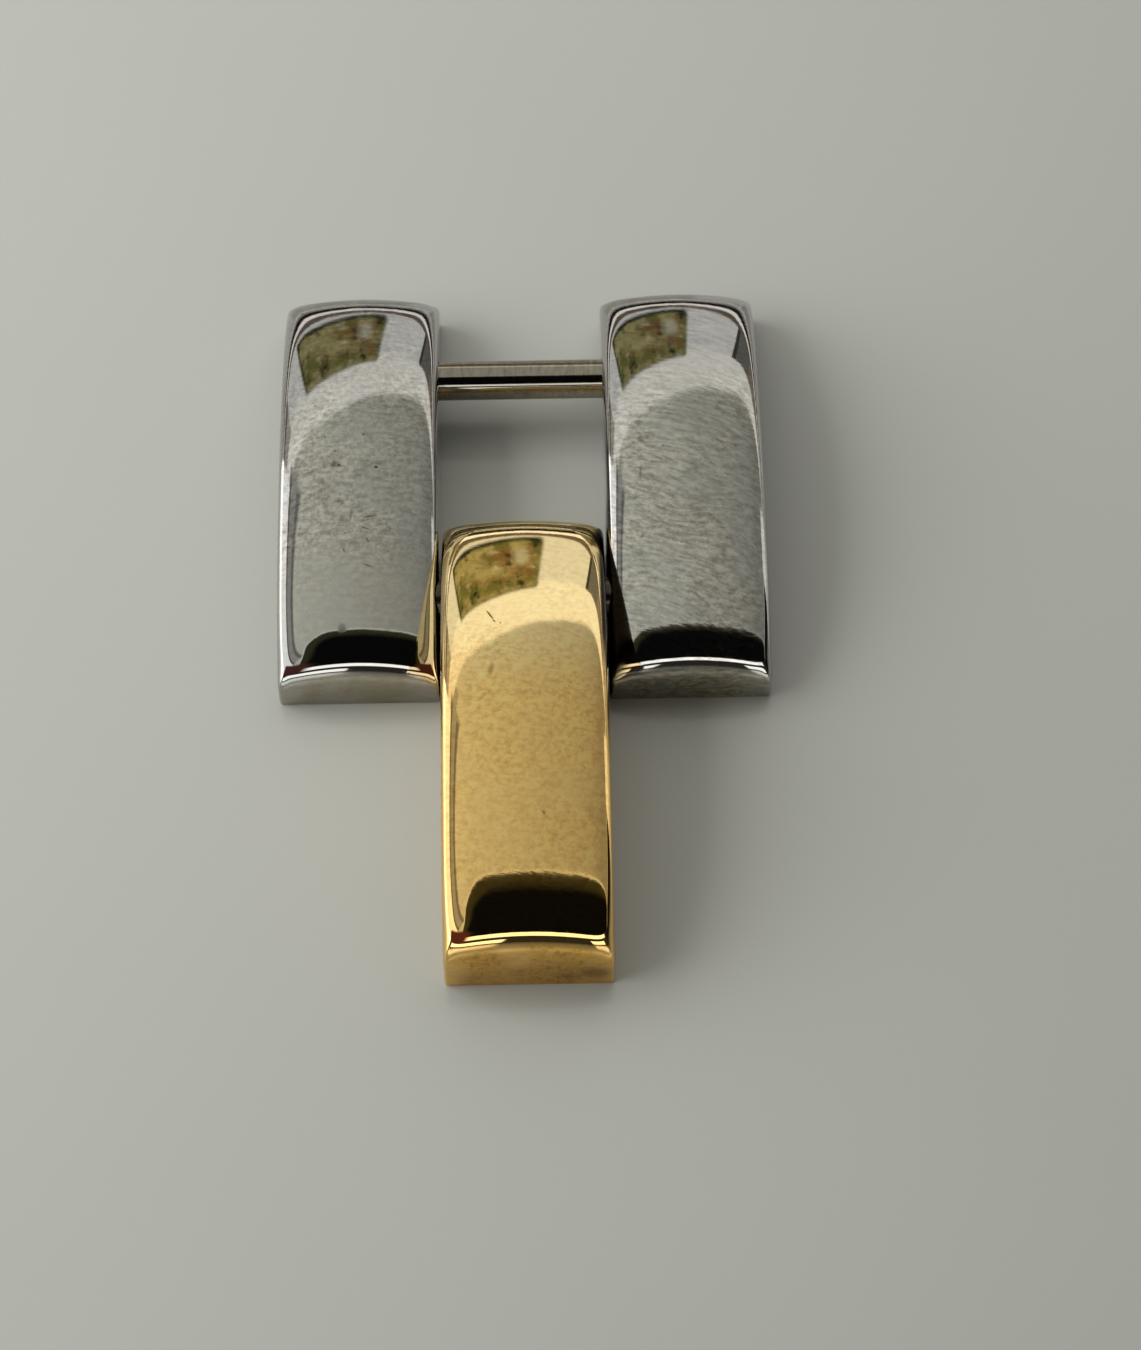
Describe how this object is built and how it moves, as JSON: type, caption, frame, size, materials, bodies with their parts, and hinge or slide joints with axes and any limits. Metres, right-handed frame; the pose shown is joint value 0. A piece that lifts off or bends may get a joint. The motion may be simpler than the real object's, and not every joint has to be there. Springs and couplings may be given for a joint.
{
  "type": "watch bracelet link",
  "caption": "Loose two-tone watch bracelet link: polished steel outer links carry a yellow gold centre link on a hinge pin, with a slotted screw across the far end for the next link.",
  "frame": {"origin": "on the flat underside, at the middle of the link's box", "axes": "+X across the bracelet, towards the screw head; +Y along the bracelet, from the free end of the centre link towards the screw; +Z out of the wrist, up through the domed tops"},
  "size_m": [0.0134, 0.0216, 0.0038],
  "materials": {
    "outer_link_steel": "mirror-polished stainless steel with fine hairline scratches",
    "centre_link_gold": "mirror-polished yellow gold with fine hairline scratches",
    "pin_steel": "turned and polished stainless steel"
  },
  "bodies": {
    "outer_links": {"left_outer_link": "outer_link_steel", "right_outer_link": "outer_link_steel", "hinge_pin": "pin_steel"},
    "centre_link": {"centre_link": "centre_link_gold"},
    "link_screw": {"link_screw": "pin_steel"}
  },
  "joints": [
    {"name": "centre_hinge", "type": "hinge", "parent": "outer_links", "child": "centre_link", "pos_m": [0, 0.00028, 0.00145], "axis": [1, 0, 0], "range_deg": [-150, 150]},
    {"name": "screw_out", "type": "slide", "parent": "outer_links", "child": "link_screw", "axis": [1, 0, 0], "range_m": [0, 0.0116]}
  ]
}
